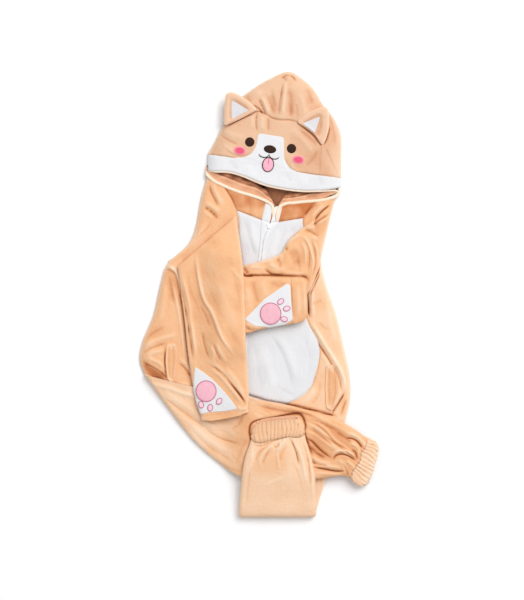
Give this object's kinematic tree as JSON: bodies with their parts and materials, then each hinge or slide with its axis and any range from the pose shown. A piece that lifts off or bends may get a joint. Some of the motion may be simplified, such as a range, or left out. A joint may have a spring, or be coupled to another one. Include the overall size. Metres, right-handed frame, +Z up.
{
  "type": "child's animal onesie",
  "caption": "Hooded plush one-piece suit with animal ears and paw prints, laid flat on its back with one leg folded up.",
  "frame": {"origin": "middle of the underside, on the surface that the garment lies on", "axes": "+Y from the legs to the hood, +Z up from the surface, +X to the wearer's left"},
  "size_m": [0.482, 0.8888, 0.0431],
  "materials": {
    "orange_plush": "short soft pile, matt, warm light orange",
    "white_plush": "short soft pile, matt, white",
    "cream_edging": "turned plush edge, cream",
    "lining": "inner side of the plush, peach",
    "pink_patch": "smooth pink applique cloth with stitched edge",
    "rose_patch": "smooth rose applique cloth",
    "brown_patch": "dense dark brown embroidery",
    "zip_plastic": "white moulded zip"
  },
  "bodies": {
    "root": {"ankle_cuff_left": "orange_plush", "ankle_cuff_right": "orange_plush", "belly_left": "white_plush", "belly_right": "white_plush", "body_back": "orange_plush", "cheek_left": "rose_patch", "cheek_right": "rose_patch", "crown_left": "orange_plush", "crown_right": "orange_plush", "cuff_left": "orange_plush", "cuff_right": "orange_plush", "ear_inner_left": "white_plush", "ear_inner_right": "white_plush", "ear_left": "orange_plush", "ear_right": "orange_plush", "eye_left": "brown_patch", "eye_right": "brown_patch", "face_blaze": "white_plush", "facing_left": "lining", "facing_right": "lining", "front_left": "orange_plush", "front_right": "orange_plush", "hood_back": "lining", "hood_brim": "white_plush", "hood_face": "orange_plush", "leg_left": "orange_plush", "leg_right": "orange_plush", "neck_edge_left": "cream_edging", "neck_edge_right": "cream_edging", "nose": "brown_patch", "paw_pad_left": "pink_patch", "paw_pad_right": "pink_patch", "paw_patch_left": "white_plush", "paw_patch_right": "white_plush", "paw_toe_left_1": "pink_patch", "paw_toe_left_2": "pink_patch", "paw_toe_left_3": "pink_patch", "paw_toe_right_1": "pink_patch", "paw_toe_right_2": "pink_patch", "paw_toe_right_3": "pink_patch", "pocket_left": "orange_plush", "pocket_right": "orange_plush", "sleeve_left": "orange_plush", "sleeve_right": "orange_plush", "tongue": "pink_patch", "yoke_left": "orange_plush", "yoke_right": "orange_plush", "zip_chain": "zip_plastic", "zip_slider": "zip_plastic", "zip_tape_left": "white_plush", "zip_tape_right": "white_plush"}
  },
  "joints": []
}
